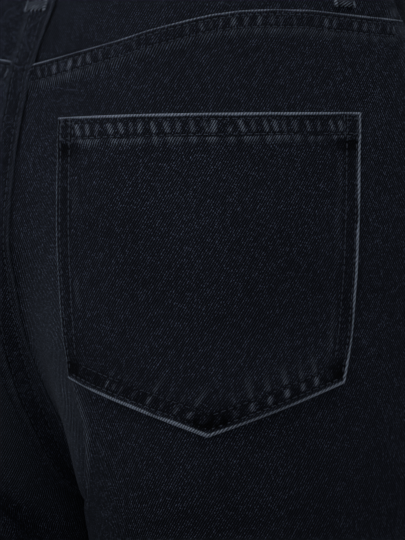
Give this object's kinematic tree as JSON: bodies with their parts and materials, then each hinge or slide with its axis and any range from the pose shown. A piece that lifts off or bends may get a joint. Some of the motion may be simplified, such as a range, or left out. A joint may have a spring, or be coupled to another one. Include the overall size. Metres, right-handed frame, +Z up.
{
  "type": "jeans",
  "caption": "High-rise straight jeans in washed black denim, worn and hollow, with yokes, patch back pockets, belt loops and felled seams.",
  "frame": {"origin": "middle of the waist opening, at half the height of the waistband", "axes": "+Z up the garment, the front faces -Y, the wearer's left is +X"},
  "size_m": [0.372, 0.252, 1.0081],
  "materials": {
    "denim": "washed black denim twill with worn seams",
    "denim_pocket": "washed black denim twill with worn edges",
    "denim_band": "washed black denim, two layers",
    "denim_loop": "washed black denim, folded strip",
    "zip_tape": "black woven tape with metal teeth",
    "brass": "dark antique metal"
  },
  "bodies": {
    "root": {"back_left": "denim", "back_right": "denim", "front_left": "denim", "front_right": "denim", "yoke_left": "denim", "yoke_right": "denim", "waistband": "denim_band", "back_pocket_left": "denim_pocket", "back_pocket_right": "denim_pocket", "pocket_facing_left": "denim", "pocket_facing_right": "denim", "loop_centre": "denim_loop", "loop_back_left": "denim_loop", "loop_back_right": "denim_loop", "loop_front_left": "denim_loop", "loop_front_right": "denim_loop", "fly_shield": "denim", "zip": "zip_tape", "zip_slider": "brass", "button": "brass"}
  },
  "joints": []
}
